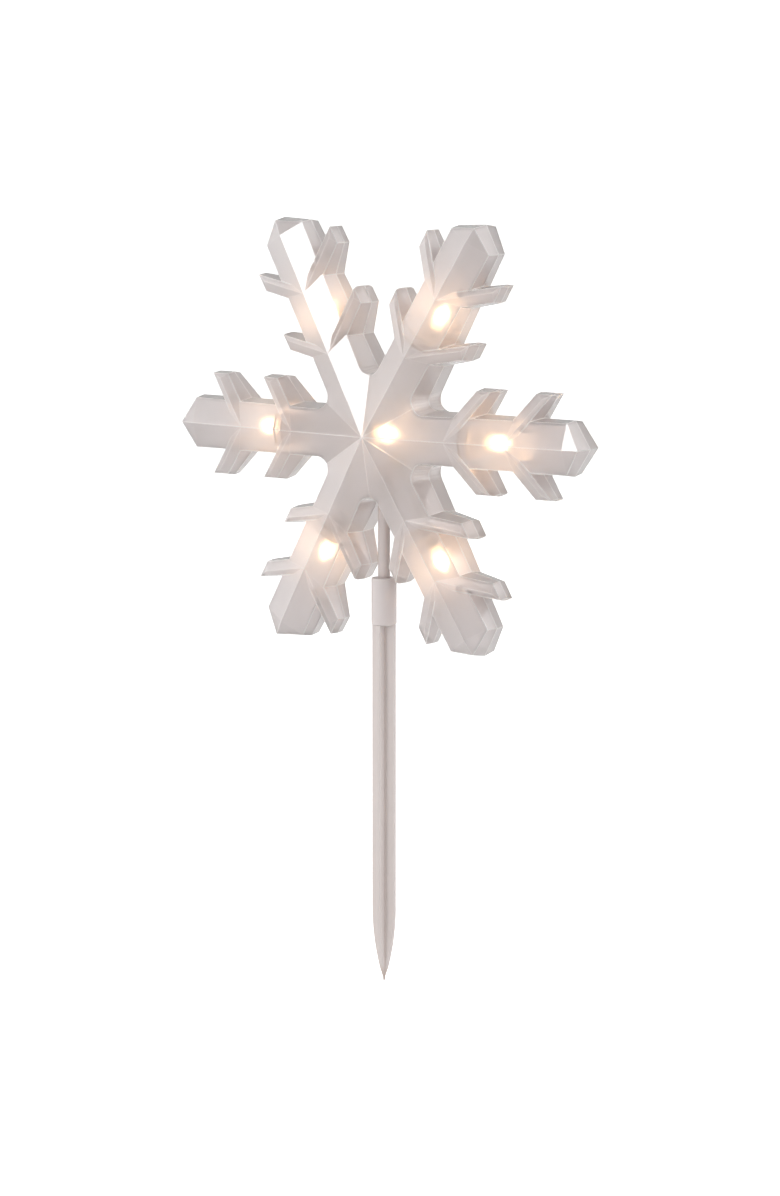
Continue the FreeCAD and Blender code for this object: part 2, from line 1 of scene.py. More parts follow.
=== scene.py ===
"""Dresses a lighted snowflake path stake for its studio picture.

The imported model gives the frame: two hollow half shells, a stem, a collar, a ground spike, seven
mini lamps and their wiring. The shells and the wires keep their own meshes and get a finish here.
Everything else that shows is a new surface, worked out from a profile and laid where the frame's
node is, with the softened edges, grip ribs and wound coil that the plain node lacks.

Lengths are in metres. X runs to the right, Y to the rear and Z up, with the soil line at zero.
"""

from __future__ import annotations

import logging
import math
from dataclasses import dataclass
from enum import Enum
from typing import Any, Callable, Optional, Sequence, Union

import bpy
import numpy as np
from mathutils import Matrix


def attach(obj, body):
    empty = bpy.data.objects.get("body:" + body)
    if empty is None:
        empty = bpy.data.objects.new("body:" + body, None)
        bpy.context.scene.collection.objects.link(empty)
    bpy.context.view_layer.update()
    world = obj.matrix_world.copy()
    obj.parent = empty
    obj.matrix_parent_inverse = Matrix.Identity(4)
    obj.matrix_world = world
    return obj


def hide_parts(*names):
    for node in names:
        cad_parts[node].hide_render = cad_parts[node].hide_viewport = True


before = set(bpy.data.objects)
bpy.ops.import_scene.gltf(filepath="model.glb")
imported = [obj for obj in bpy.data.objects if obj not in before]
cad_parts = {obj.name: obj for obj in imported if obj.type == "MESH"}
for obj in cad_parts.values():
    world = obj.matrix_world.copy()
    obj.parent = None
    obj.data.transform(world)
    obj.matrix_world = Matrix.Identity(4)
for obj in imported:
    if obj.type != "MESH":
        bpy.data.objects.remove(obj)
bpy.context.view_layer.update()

LOG = logging.getLogger("snowflake_stake")
HEAD_CENTRE = (0.0, 0.0, 0.078)
ARM_COUNT = 6
ARM_STEP = math.tau / ARM_COUNT
ON_AXIS = 1e-9
WIRE_REFERENCE = (0.13, 0.21, 0.97)

Number = Union[int, float]
Colour = tuple[float, float, float]
Place = tuple[float, float, float]
Ripple = Callable[[np.ndarray, np.ndarray], np.ndarray]


class Slot(Enum):
    """The record's material slots."""

    PEARL = "pearl_plastic"
    STEM = "stem_plastic"
    WHITE = "white_plastic"
    GROMMET = "grommet_vinyl"
    GLASS = "lamp_glass"
    FILAMENT = "lamp_filament"
    HOLDER = "holder_plastic"
    WIRE = "wire_vinyl"


class Body(Enum):
    """The bodies that pieces ride on."""

    HEAD = "head"
    COLLAR = "collar"
    SPIKE = "spike"


# ------------------------------------------------------------------ shader arithmetic
class Flow:
    """A node socket that takes part in Python arithmetic, one Math node for each step."""

    def __init__(self, tree: bpy.types.NodeTree, socket: bpy.types.NodeSocket) -> None:
        """Wraps a socket of a tree."""
        self.tree = tree
        self.socket = socket

    def maths(self, operation: str, *others: Union["Flow", Number], first: bool = True) -> "Flow":
        """Adds one Math node.

        Args:
            operation: the Math node's operation.
            others: the other operands, as sockets or numbers.
            first: whether this socket is the first operand or the last.

        Returns:
            The node's result.
        """
        node = self.tree.nodes.new("ShaderNodeMath")
        node.operation = operation
        operands = [self, *others] if first else [*others, self]
        for place, operand in zip(node.inputs, operands):
            if isinstance(operand, Flow):
                self.tree.links.new(operand.socket, place)
            else:
                place.default_value = float(operand)
        return Flow(self.tree, node.outputs[0])

    def __add__(self, other: Union["Flow", Number]) -> "Flow":
        """Sum."""
        return self.maths("ADD", other)

    __radd__ = __add__

    def __mul__(self, other: Union["Flow", Number]) -> "Flow":
        """Product."""
        return self.maths("MULTIPLY", other)

    __rmul__ = __mul__

    def __sub__(self, other: Union["Flow", Number]) -> "Flow":
        """Difference."""
        return self.maths("SUBTRACT", other)

    def __rsub__(self, other: Number) -> "Flow":
        """Difference, this socket taken from a number."""
        return self.maths("SUBTRACT", other, first=False)

    def __truediv__(self, other: Union["Flow", Number]) -> "Flow":
        """Quotient."""
        return self.maths("DIVIDE", other)

    def __rtruediv__(self, other: Number) -> "Flow":
        """Quotient, a number divided by this socket."""
        return self.maths("DIVIDE", other, first=False)

    def __pow__(self, other: Number) -> "Flow":
        """Power."""
        return self.maths("POWER", other)

    def clipped(self) -> "Flow":
        """The value held between nought and one."""
        held = self.maths("ADD", 0.0)
        held.socket.node.use_clamp = True
        return held


Feed = Union[Flow, Number, Sequence[Number]]


class Bench:
    """One material's node tree, with a single way of adding any node to it."""

    def __init__(self, name: str) -> None:
        """Starts an empty material of that name."""
        self.material = bpy.data.materials.new(name)
        self.material.use_nodes = True
        self.tree = self.material.node_tree
        self.tree.nodes.clear()
        self.place = self.node("ShaderNodeTexCoord", output="Object")

    def node(
        self,
        kind: str,
        settings: Optional[dict[str, Any]] = None,
        feeds: Optional[dict[Union[str, int], Feed]] = None,
        output: Union[str, int] = 0,
    ) -> Flow:
        """Adds a node.

        Args:
            kind: the node's type name.
            settings: its own settings, set first; "stops" fills a colour ramp.
            feeds: values or links for its input sockets, by name or place.
            output: the output socket to hand back.

        Returns:
            That output socket.
        """
        made = self.tree.nodes.new(kind)
        for key, value in (settings or {}).items():
            if key == "stops":
                ramp = made.color_ramp.elements
                while len(ramp) < len(value):
                    ramp.new(1.0)
                for element, (position, colour) in zip(ramp, value):
                    element.position = position
                    element.color = (*colour, 1.0)
            else:
                setattr(made, key, value)
        for key, value in (feeds or {}).items():
            self.feed(made.inputs[key], value)
        return Flow(self.tree, made.outputs[output])

    def feed(self, socket: bpy.types.NodeSocket, value: Feed) -> None:
        """Links or sets one input socket.

        Args:
            socket: the input socket.
            value: a socket to link, or a number, colour or vector to set.
        """
        if isinstance(value, Flow):
            self.tree.links.new(value.socket, socket)
        elif isinstance(value, (int, float)):
            socket.default_value = value
        elif socket.type == "RGBA":
            socket.default_value = (*value, 1.0)
        else:
            socket.default_value = tuple(value)

    def noise(self, scale: float, detail: float = 3.0, stretch: Colour = (1.0, 1.0, 1.0)) -> Flow:
        """Cloudy noise on object coordinates.

        Args:
            scale: clouds for each metre.
            detail: octaves of finer cloud.
            stretch: how many times closer the clouds lie along each axis.

        Returns:
            The noise, from nought to one.
        """
        mapped = self.node("ShaderNodeMapping", None, {"Vector": self.place, "Scale": stretch})
        return self.node("ShaderNodeTexNoise", None, {"Vector": mapped, "Scale": scale, "Detail": detail})

    def mixed(self, share: Feed, low: Feed, high: Feed, blend: str = "MIX") -> Flow:
        """Two colours mixed by a share.

        Args:
            share: nought for low, one for high.
            low: the colour at nought.
            high: the colour at one.
            blend: the Mix node's blend type.

        Returns:
            The mixed colour.
        """
        made = self.tree.nodes.new("ShaderNodeMix")
        made.data_type = "RGBA"
        made.blend_type = blend
        self.feed(made.inputs[0], share)
        self.feed(made.inputs[6], low)
        self.feed(made.inputs[7], high)
        return Flow(self.tree, made.outputs[2])

    def scaled(self, colour: Feed, amount: Feed) -> Flow:
        """A colour multiplied by a value."""
        return self.node("ShaderNodeVectorMath", {"operation": "SCALE"}, {0: colour, "Scale": amount})

    def distance(self, point: Sequence[Number]) -> Flow:
        """Distance in metres from a point of the piece's own space."""
        feeds = {0: self.place, 1: tuple(point)}
        return self.node("ShaderNodeVectorMath", {"operation": "DISTANCE"}, feeds, output="Value")

    def lamp_light(self, lamps: Sequence[Place], reach: float) -> Flow:
        """Light from small lamps: the sum over lamps of 1 / (1 + (distance / reach)^2)^2.

        Args:
            lamps: the lamps' middles.
            reach: the distance in metres at which a lamp's light is a quarter of its peak.

        Returns:
            The light, near one at a lamp.
        """
        terms = [1.0 / (((self.distance(lamp) / reach) ** 2.0 + 1.0) ** 2.0) for lamp in lamps]
        total = terms[0]
        for term in terms[1:]:
            total = total + term
        return total

    def softened_normal(self, radius: float) -> Flow:
        """The surface normal turned smoothly over sharp edges, as a moulded corner is."""
        return self.node("ShaderNodeBevel", {"samples": 4}, {"Radius": radius})

    def edge(self, normal: Flow, gain: float) -> Flow:
        """How near a sharp edge is: the root of one minus the agreement of softened and true normal.

        Args:
            normal: the softened normal.
            gain: how quickly the mark rises to one.

        Returns:
            Nought on open faces, rising to one along edges.
        """
        true = self.node("ShaderNodeNewGeometry", output="True Normal")
        agree = self.node("ShaderNodeVectorMath", {"operation": "DOT_PRODUCT"}, {0: normal, 1: true}, "Value")
        return (((1.0 - agree) ** 0.5) * gain).clipped()

    def bumped(self, height: Flow, depth: float, normal: Optional[Flow] = None) -> Flow:
        """A normal disturbed by a height.

        Args:
            height: the height, from nought to one.
            depth: what a height of one stands for, in metres.
            normal: the normal to start from.

        Returns:
            The disturbed normal.
        """
        feeds: dict[Union[str, int], Feed] = {"Height": height, "Distance": depth, "Strength": 1.0}
        if normal is not None:
            feeds["Normal"] = normal
        return self.node("ShaderNodeBump", None, feeds)

    def finish(self, shader: Flow) -> bpy.types.Material:
        """Joins a shader to the material's output and hands the material back."""
        end = self.tree.nodes.new("ShaderNodeOutputMaterial")
        self.tree.links.new(shader.socket, end.inputs["Surface"])
        return self.material


PRINCIPLED = "ShaderNodeBsdfPrincipled"


# ------------------------------------------------------------------ finishes
@dataclass(frozen=True)
class PearlPlastic:
    """Milky, glossy, half-clear moulded plastic, with the lamps' glow from within painted on as emission, and
    a painted highlight along its edges.
    """

    lamps: tuple[Place, ...]
    body: Colour = (0.93, 0.882, 0.878)
    cloud: Colour = (0.965, 0.928, 0.925)
    # Painted highlight: the pale colour laid along sharp edges and ridges, in the base colour and as
    # emission.
    rim: Colour = (0.97, 0.95, 0.93)
    # Painted light: the warm colour of the glow that the shell's emission paints round each lamp; the shell
    # is no lamp.
    glow: Colour = (1.0, 0.60, 0.36)
    # Painted light: the paler colour at the middle of each painted glow.
    heart: Colour = (1.0, 0.80, 0.55)
    painted_glow_reach: float = 0.0105
    painted_glow_strength: float = 0.35
    # Painted highlight: how strongly the edges glow.
    painted_edge_glow: float = 0.34
    clearness: float = 0.80
    roughness: float = 0.27
    edge_radius: float = 0.0006
    edge_gain: float = 3.0
    bump_depth: float = 0.00003

    def made(self) -> bpy.types.Material:
        """Builds the material.

        Returns:
            The material.
        """
        bench = Bench("pearl_plastic_finish")
        clouds = bench.noise(55.0, 4.0, (1.0, 2.2, 1.0))
        streaks = bench.noise(160.0, 3.0, (1.0, 0.35, 0.5))
        normal = bench.softened_normal(self.edge_radius)
        rim = bench.edge(normal, self.edge_gain)
        milk = bench.mixed((clouds - 0.3) * 1.6, self.body, self.cloud)
        # Painted highlight: edges and ridges are lightened in the base colour.
        colour = bench.mixed(rim * 0.85, milk, self.rim)
        # Painted light: the shell is no lamp, yet its emission paints a warm glow round each coil's middle,
        # standing in for the lamps' light coming through the plastic.
        light = bench.lamp_light(self.lamps, self.painted_glow_reach)
        warm = bench.mixed((light * 2.2).clipped(), self.glow, self.heart)
        lit = bench.scaled(warm, light * self.painted_glow_strength * (0.8 + 0.4 * streaks))
        # Painted highlight: edges and ridges also glow, added to the painted lamp glow.
        emission = bench.mixed(1.0, lit, bench.scaled(self.rim, rim * self.painted_edge_glow), "ADD")
        shader = bench.node(PRINCIPLED, None, {
            "Base Color": colour,
            "Roughness": self.roughness + 0.06 * streaks,
            "Normal": bench.bumped(clouds, self.bump_depth),
            "IOR": 1.46,
            "Transmission Weight": self.clearness,
            "Coat Weight": 1.0,
            "Coat Roughness": 0.05,
            "Emission Color": emission,
            "Emission Strength": 1.0,
        })
        return bench.finish(shader)


@dataclass(frozen=True)
class SatinPlastic:
    """Solid satin moulded plastic, with a painted highlight that makes its edges paler."""

    name: str
    body: Colour
    deep: Colour
    # Painted highlight: the pale colour laid along edges.
    rim: Colour
    roughness: float = 0.38
    grain: float = 900.0
    grain_depth: float = 0.00002
    edge_radius: float = 0.00025
    edge_gain: float = 1.8
    coat: float = 0.15
    # Painted shade: darkens the colour near the axis, in the valleys between the spike's fins.
    crevice_shade_radius: float = 0.0
    crevice_shade_fade: float = 0.0009
    crevice_shade_share: float = 0.6
    crevice_shade_tint: Colour = (0.80, 0.68, 0.60)

    def made(self) -> bpy.types.Material:
        """Builds the material.

        Returns:
            The material.
        """
        bench = Bench(self.name)
        clouds = bench.noise(90.0, 3.0, (1.0, 1.0, 0.25))
        grain = bench.noise(self.grain, 2.0)
        normal = bench.softened_normal(self.edge_radius)
        rim = bench.edge(normal, self.edge_gain)
        colour = bench.mixed((clouds - 0.25) * 1.8, self.deep, self.body)
        # Painted highlight: edges are lightened in the base colour.
        colour = bench.mixed(rim * 0.7, colour, self.rim)
        # Painted shade: the colour is darkened and warmed towards the axis, where the fins meet, standing in
        # for the shade in the valleys between them.
        if self.crevice_shade_radius > 0.0:
            feeds = {0: bench.place, 1: (1.0, 1.0, 0.0)}
            level = bench.node("ShaderNodeVectorMath", {"operation": "MULTIPLY"}, feeds)
            out = bench.node("ShaderNodeVectorMath", {"operation": "LENGTH"}, {0: level}, "Value")
            depth = ((self.crevice_shade_radius - out) / self.crevice_shade_fade).clipped() * self.crevice_shade_share
            colour = bench.mixed(depth, colour, self.crevice_shade_tint, "MULTIPLY")
        shader = bench.node(PRINCIPLED, None, {
            "Base Color": colour,
            "Roughness": self.roughness + 0.1 * (grain - 0.5),
            "Normal": bench.bumped(grain, self.grain_depth, normal),
            "Subsurface Weight": 0.05,
            "Subsurface Radius": (0.9, 0.7, 0.6),
            "Subsurface Scale": 0.001,
            "Coat Weight": self.coat,
            "Coat Roughness": 0.25,
        })
        return bench.finish(shader)


@dataclass(frozen=True)
class Vinyl:
    """Soft wire insulation or bush rubber, with a faint waxy bloom."""

    name: str
    body: Colour
    bloom: Colour
    roughness: float = 0.45

    def made(self) -> bpy.types.Material:
        """Builds the material.

        Returns:
            The material.
        """
        bench = Bench(self.name)
        bloom = bench.noise(400.0, 3.0)
        shader = bench.node(PRINCIPLED, None, {
            "Base Color": bench.mixed((bloom - 0.35) * 1.5, self.body, self.bloom),
            "Roughness": self.roughness + 0.12 * (bloom - 0.5),
            "Normal": bench.bumped(bloom, 0.00001),
            "IOR": 1.5,
        })
        return bench.finish(shader)


@dataclass(frozen=True)
class LitGlass:
    """The clear glass of a burning lamp, brightest round its coil."""

    hearts: tuple[Place, ...]
    tint: Colour = (1.0, 0.97, 0.92)
    fire: Colour = (1.0, 0.62, 0.30)
    reach: float = 0.0024
    strength: float = 16.0

    def made(self) -> bpy.types.Material:
        """Builds the material.

        Returns:
            The material.
        """
        bench = Bench("lit_glass_finish")
        light = bench.lamp_light(self.hearts, self.reach)
        seed = bench.noise(1500.0, 2.0)
        shader = bench.node(PRINCIPLED, None, {
            "Base Color": bench.mixed(seed, self.tint, (1.0, 1.0, 1.0)),
            "Roughness": 0.03 + 0.04 * seed,
            "IOR": 1.47,
            "Transmission Weight": 1.0,
            "Emission Color": bench.scaled(self.fire, light),
            "Emission Strength": self.strength,
        })
        return bench.finish(shader)


@dataclass(frozen=True)
class HotCoil:
    """The glowing tungsten coil."""

    fire: Colour = (1.0, 0.66, 0.33)
    strength: float = 200.0

    def made(self) -> bpy.types.Material:
        """Builds the material.

        Returns:
            The material.
        """
        bench = Bench("hot_coil_finish")
        flicker = bench.noise(3000.0, 2.0)
        shader = bench.node(PRINCIPLED, None, {
            "Base Color": bench.mixed(flicker, (0.30, 0.28, 0.26), (0.45, 0.42, 0.38)),
            "Metallic": 1.0,
            "Roughness": 0.4 + 0.1 * flicker,
            "Emission Color": bench.scaled(self.fire, 0.75 + 0.5 * flicker),
            "Emission Strength": self.strength,
        })
        return bench.finish(shader)


@dataclass(frozen=True)
class SupportWire:
    """The nickelled support wires of a lamp's coil."""

    def made(self) -> bpy.types.Material:
        """Builds the material.

        Returns:
            The material.
        """
        bench = Bench("support_wire_finish")
        draw = bench.noise(2500.0, 2.0, (1.0, 1.0, 0.1))
        shader = bench.node(PRINCIPLED, None, {
            "Base Color": bench.mixed(draw, (0.52, 0.49, 0.45), (0.68, 0.65, 0.61)),
            "Metallic": 1.0,
            "Roughness": 0.25 + 0.2 * draw,
        })
        return bench.finish(shader)


@dataclass(frozen=True)
class StudioPaper:
    """Pale matt paper under and round the piece."""

    body: Colour = (0.93, 0.93, 0.93)
    lift: float = 0.75

    def made(self) -> bpy.types.Material:
        """Builds the material.

        Returns:
            The material.
        """
        bench = Bench("studio_paper_finish")
        tooth = bench.noise(300.0, 3.0)
        straight = bench.node("ShaderNodeLightPath", output="Is Camera Ray")
        shader = bench.node(PRINCIPLED, None, {
            "Base Color": bench.mixed(tooth, self.body, (0.95, 0.95, 0.95)),
            "Roughness": 0.95,
            "Specular IOR Level": 0.1,
            "Emission Color": bench.scaled((1.0, 1.0, 1.0), straight),
            "Emission Strength": self.lift,
        })
        return bench.finish(shader)


# ------------------------------------------------------------------ surfaces
@dataclass(frozen=True)
class Seat:
    """A local frame: an origin and three axes, as columns."""

    origin: np.ndarray
    axes: np.ndarray

    def placed(self, points: np.ndarray) -> np.ndarray:
        """Local points as points of the whole object: origin + axes times point."""
        return self.origin + points @ self.axes.T


def arm_seat(index: int, along: float, depth: float = 0.0) -> Seat:
    """The frame of an arm: X out along the arm, Y across it and Z to the front.

    Args:
        index: the arm, counted from the right-hand one up and over.
        along: how far the origin lies from the head's centre.
        depth: how far the origin lies to the rear of the seam.

    Returns:
        The frame.
    """
    angle = index * ARM_STEP
    out = np.array([math.cos(angle), 0.0, math.sin(angle)])
    across = np.array([-math.sin(angle), 0.0, math.cos(angle)])
    front = np.array([0.0, -1.0, 0.0])
    origin = np.array(HEAD_CENTRE) + out * along - front * depth
    return Seat(origin, np.stack([out, across, front], axis=1))


def upright_seat(turn: float = 0.0) -> Seat:
    """The frame of a piece turned about the stake's axis: X up the stake, Y and Z level."""
    level = np.array([math.cos(turn), math.sin(turn), 0.0])
    up = np.array([0.0, 0.0, 1.0])
    return Seat(np.zeros(3), np.stack([up, level, np.cross(up, level)], axis=1))


def softened(corners: Sequence[Place], steps: int = 4, closed: bool = True) -> np.ndarray:
    """An outline with each corner replaced by an arc tangent to both of its sides.

    For a corner C between unit directions a (arriving) and b (leaving), half the turn is h, the arc
    of radius r starts at C - a r tan(h) and ends at C + b r tan(h), and its points are the centre
    plus r times the turning normal.

    Args:
        corners: (first, second, radius) of each corner.
        steps: points on each arc.
        closed: whether the outline joins up; an open outline keeps its two ends as they are.

    Returns:
        The outline's points, one row each.
    """
    places = np.array([c[:2] for c in corners], float)
    runs = []
    count = len(corners)
    for i, (first, second, radius) in enumerate(corners):
        here = np.array([first, second])
        if radius <= 0.0 or (not closed and i in (0, count - 1)):
            runs.append(here[None, :])
            continue
        arriving = here - places[i - 1]
        leaving = places[(i + 1) % count] - here
        arriving = arriving / np.linalg.norm(arriving)
        leaving = leaving / np.linalg.norm(leaving)
        cross = arriving[0] * leaving[1] - arriving[1] * leaving[0]
        turn = math.atan2(cross, float(arriving @ leaving))
        side = math.copysign(1.0, turn)
        reach = radius * math.tan(abs(turn) / 2.0)
        normal = np.array([-arriving[1], arriving[0]]) * side
        centre = here - arriving * reach + normal * radius
        angles = np.linspace(0.0, turn, steps)
        spoke = -normal
        rotated = np.stack([spoke[0] * np.cos(angles) - spoke[1] * np.sin(angles),
                            spoke[0] * np.sin(angles) + spoke[1] * np.cos(angles)], axis=1)
        runs.append(centre + rotated * radius)
    return np.concatenate(runs)


@dataclass
class Sheet:
    """A surface as vertices and four-sided faces, gathered piece by piece into one mesh."""

    points: list[np.ndarray]
    faces: list[np.ndarray]
    finishes: list[np.ndarray]
    count: int = 0

    @classmethod
    def empty(cls) -> "Sheet":
        """A sheet with nothing on it."""
        return cls([], [], [])

    def add_grid(
        self, grid: np.ndarray, wrap_rows: bool, wrap_columns: bool, finish: int = 0, flip: bool = False,
    ) -> None:
        """Adds a grid of points as four-sided faces.

        Args:
            grid: points by row and column.
            wrap_rows: whether the last row joins the first.
            wrap_columns: whether the last column joins the first.
            finish: the material's place on the piece.
            flip: whether the faces look the other way.
        """
        rows, columns = grid.shape[:2]
        index = np.arange(rows * columns).reshape(rows, columns)
        if wrap_rows:
            index = np.concatenate([index, index[:1]], axis=0)
        if wrap_columns:
            index = np.concatenate([index, index[:, :1]], axis=1)
        corners = [index[:-1, :-1], index[1:, :-1], index[1:, 1:], index[:-1, 1:]]
        quads = np.stack(corners, axis=-1).reshape(-1, 4)
        if flip:
            quads = quads[:, ::-1]
        self.points.append(grid.reshape(-1, 3))
        self.faces.append(quads + self.count)
        self.finishes.append(np.full(len(quads), finish, np.int32))
        self.count += rows * columns

    def mesh(self, name: str, sharp: float = 34.0) -> bpy.types.Mesh:
        """Turns the sheet into a mesh with its poles merged and its crisp edges kept.

        Args:
            name: the mesh's name.
            sharp: the angle in degrees past which an edge stays crisp.

        Returns:
            The mesh.
        """
        points = np.concatenate(self.points)
        faces = np.concatenate(self.faces)
        _, first, inverse = np.unique(np.round(points, 8), axis=0, return_index=True, return_inverse=True)
        points = points[first]
        faces = inverse.reshape(-1)[faces]
        mesh = bpy.data.meshes.new(name)
        corners = [tuple(dict.fromkeys(face)) for face in faces.tolist()]
        keep = [i for i, face in enumerate(corners) if len(face) > 2]
        mesh.from_pydata(points.tolist(), [], [corners[i] for i in keep])
        finishes = np.concatenate(self.finishes)[keep]
        mesh.polygons.foreach_set("material_index", finishes)
        mesh.polygons.foreach_set("use_smooth", np.ones(len(keep), bool))
        mesh.set_sharp_from_angle(angle=math.radians(sharp))
        mesh.update()
        return mesh


def turned(
    outline: np.ndarray, seat: Seat, sides: int = 48, ripple: Optional[Ripple] = None,
) -> np.ndarray:
    """An outline turned about a seat's X axis.

    The point at outline place i and angle a is (along_i, r cos a, r sin a) with r the outline's
    radius, changed by the ripple where there is one.

    Args:
        outline: (along, radius) of each point.
        seat: where the turned piece sits.
        sides: points round the axis.
        ripple: a function of (outline place, angle) that gives the radius's change.

    Returns:
        The surface's points by outline place and angle.
    """
    angle = np.arange(sides) * (math.tau / sides)
    radius = np.repeat(outline[:, 1:2], sides, axis=1)
    if ripple is not None:
        radius = radius + ripple(outline[:, 0:1], angle[None, :]) * (radius > ON_AXIS)
    along = np.repeat(outline[:, 0:1], sides, axis=1)
    local = np.stack([along, radius * np.cos(angle), radius * np.sin(angle)], axis=-1)
    return seat.placed(local)


def tube(path: np.ndarray, radius: float, seat: Seat, sides: int = 8) -> np.ndarray:
    """A round wire along a path, closed by a point at each end.

    At each point the ring is radius (cos a n + sin a b), where t is the path's direction, n is t
    crossed with a fixed reference and b is t crossed with n.

    Args:
        path: the wire's centreline.
        radius: the wire's radius.
        seat: where the wire sits.
        sides: points round the wire.

    Returns:
        The surface's points by path place and angle.
    """
    direction = np.gradient(path, axis=0)
    direction /= np.linalg.norm(direction, axis=1)[:, None]
    normal = np.cross(direction, np.array(WIRE_REFERENCE))
    normal /= np.linalg.norm(normal, axis=1)[:, None]
    binormal = np.cross(direction, normal)
    angle = np.arange(sides) * (math.tau / sides)
    ring = normal[:, None, :] * np.cos(angle)[None, :, None]
    ring = ring + binormal[:, None, :] * np.sin(angle)[None, :, None]
    wall = path[:, None, :] + ring * radius
    ends = [np.repeat(path[i][None, None, :], sides, axis=1) for i in (0, -1)]
    return seat.placed(np.concatenate([ends[0], wall, ends[1]], axis=0))


class Shop:
    """Puts finished meshes into the scene and keeps count of them."""

    def __init__(self) -> None:
        """Starts with no pieces."""
        self.made: list[str] = []

    def put(
        self,
        name: str,
        mesh: bpy.types.Mesh,
        finishes: Sequence[bpy.types.Material],
        body: Body,
        stands_for: str,
    ) -> None:
        """Adds a piece that stands for a node of the frame.

        Args:
            name: the piece's name.
            mesh: its mesh, already in place.
            finishes: its materials.
            body: what it rides on.
            stands_for: the node that it replaces.
        """
        piece = bpy.data.objects.new(name, mesh)
        bpy.context.scene.collection.objects.link(piece)
        for material in finishes:
            mesh.materials.append(material)
        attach(piece, body.value)
        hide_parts(stands_for)
        self.made.append(name)
        LOG.info("%s: %d faces, stands for %s", name, len(mesh.polygons), stands_for)

    def dress(self, node: str, finish: bpy.types.Material, slot: Slot) -> None:
        """Gives a node of the frame its finish.

        Args:
            node: the node's name.
            finish: its material.
            slot: the record's material slot; not used.
        """
        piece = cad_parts[node]
        piece.data.materials.clear()
        piece.data.materials.append(finish)
        self.made.append(node)
        LOG.info("%s: dressed in %s", node, finish.name)


# ------------------------------------------------------------------ the snowflake and its lamps
@dataclass
class Snowflake:
    """The two hollow half shells."""

    shells: tuple[str, str] = ("front_shell", "rear_shell")

    def dress(self, shop: Shop, lamps: Sequence[Place]) -> None:
        """Dresses both shells in pearl plastic, with the lamps' light from within painted on as a glow round
        each coil.

        Args:
            shop: where the pieces are dressed.
            lamps: the coils' middles.
        """
        finish = PearlPlastic(tuple(lamps)).made()
        for shell in self.shells:
            shop.dress(shell, finish, Slot.PEARL)


